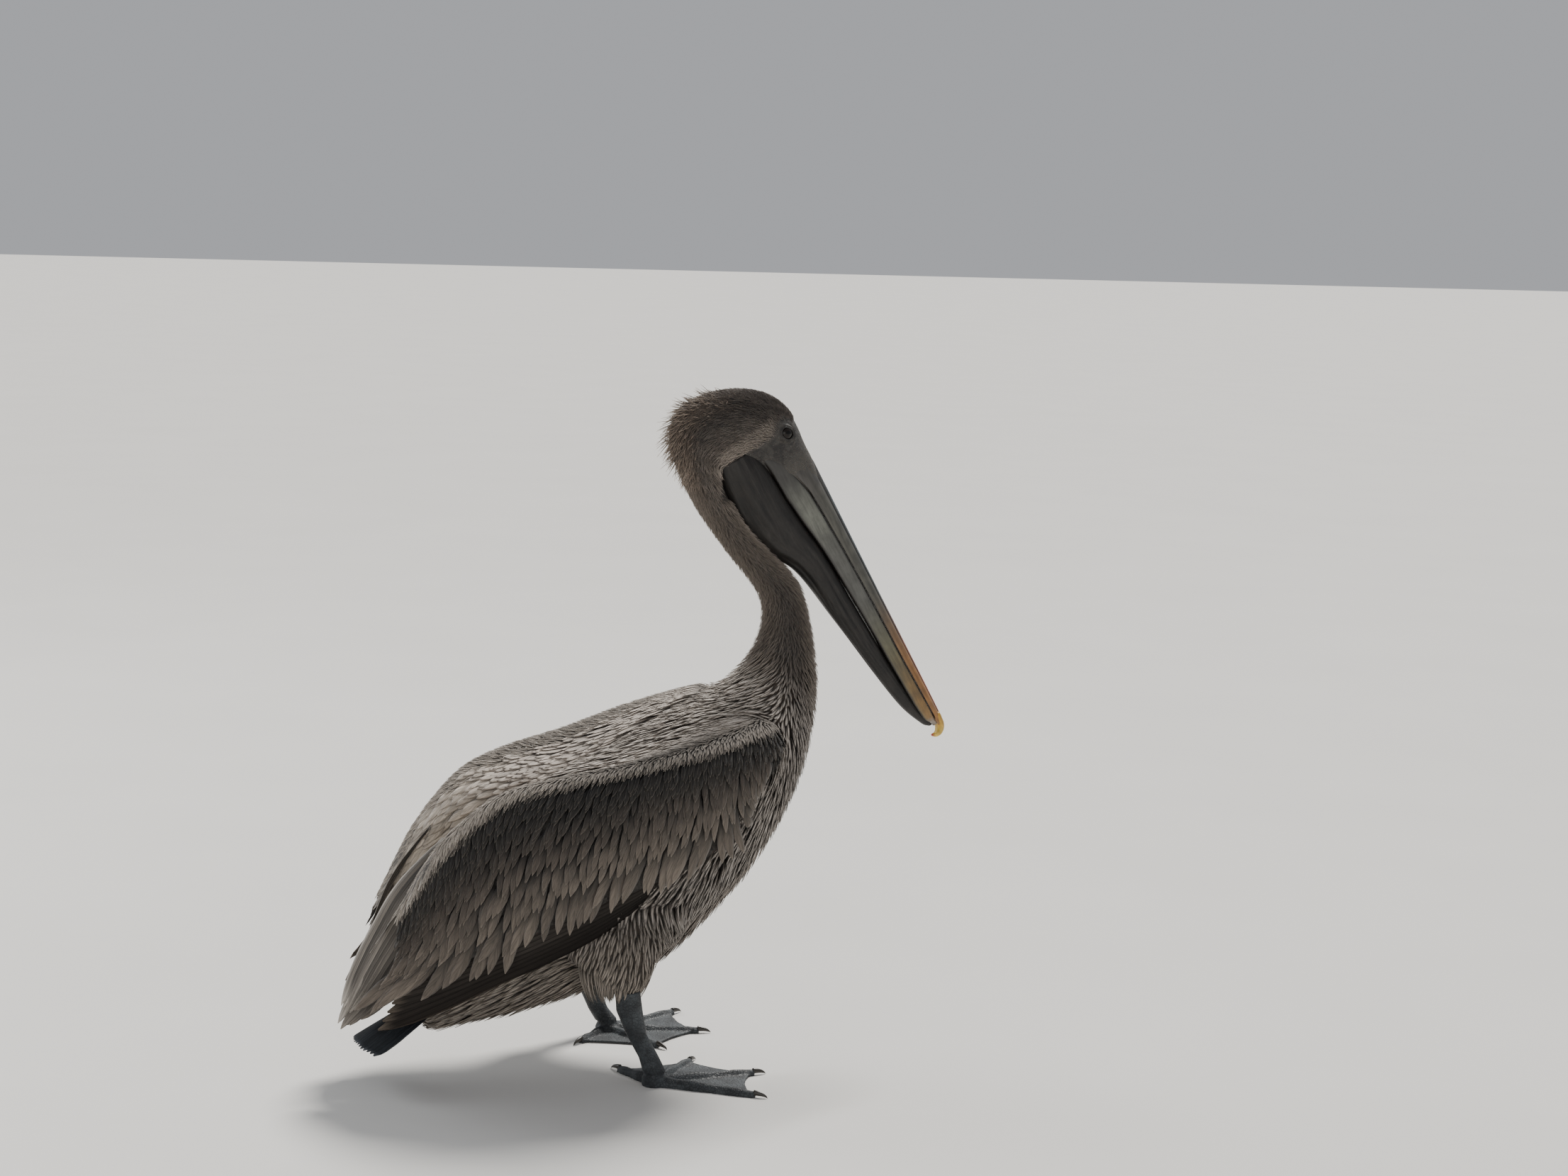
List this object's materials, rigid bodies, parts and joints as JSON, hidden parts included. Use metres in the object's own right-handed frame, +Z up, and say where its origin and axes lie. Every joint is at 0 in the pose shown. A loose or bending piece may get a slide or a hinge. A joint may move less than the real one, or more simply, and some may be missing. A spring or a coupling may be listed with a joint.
{
  "type": "brown pelican",
  "caption": "Life-size still model of a standing immature brown pelican, neck folded back and long pouched bill laid towards its breast.",
  "frame": {"origin": "middle of the foot of the bounding box, on the floor the bird stands on", "axes": "+X the way the bird faces, +Y to its left, +Z up"},
  "size_m": [0.6326, 0.2906, 0.659],
  "materials": {
    "plumage_head": "matte",
    "plumage_body": "matte",
    "wing_coverts": "matte",
    "flight_feathers": "satin",
    "pouch_skin": "satin",
    "bill": "satin",
    "bill_nail": "satin",
    "eye": "gloss",
    "foot_skin": "matte",
    "claw": "satin"
  },
  "bodies": {
    "root": {"head": "plumage_head", "neck_upper": "plumage_head", "neck_lower": "plumage_body", "trunk": "plumage_body", "eye_right": "eye", "eye_left": "eye", "bill_upper": "bill", "bill_lower": "bill", "bill_nail": "bill_nail", "pouch": "pouch_skin", "tail": "flight_feathers", "wing_right": "wing_coverts", "secondaries_right": "flight_feathers", "primaries_right": "flight_feathers", "thigh_right": "plumage_body", "leg_right": "foot_skin", "foot_right": "foot_skin", "claw_right_1": "claw", "claw_right_2": "claw", "claw_right_3": "claw", "claw_right_4": "claw", "wing_left": "wing_coverts", "secondaries_left": "flight_feathers", "primaries_left": "flight_feathers", "thigh_left": "plumage_body", "leg_left": "foot_skin", "foot_left": "foot_skin", "claw_left_1": "claw", "claw_left_2": "claw", "claw_left_3": "claw", "claw_left_4": "claw"}
  },
  "joints": []
}
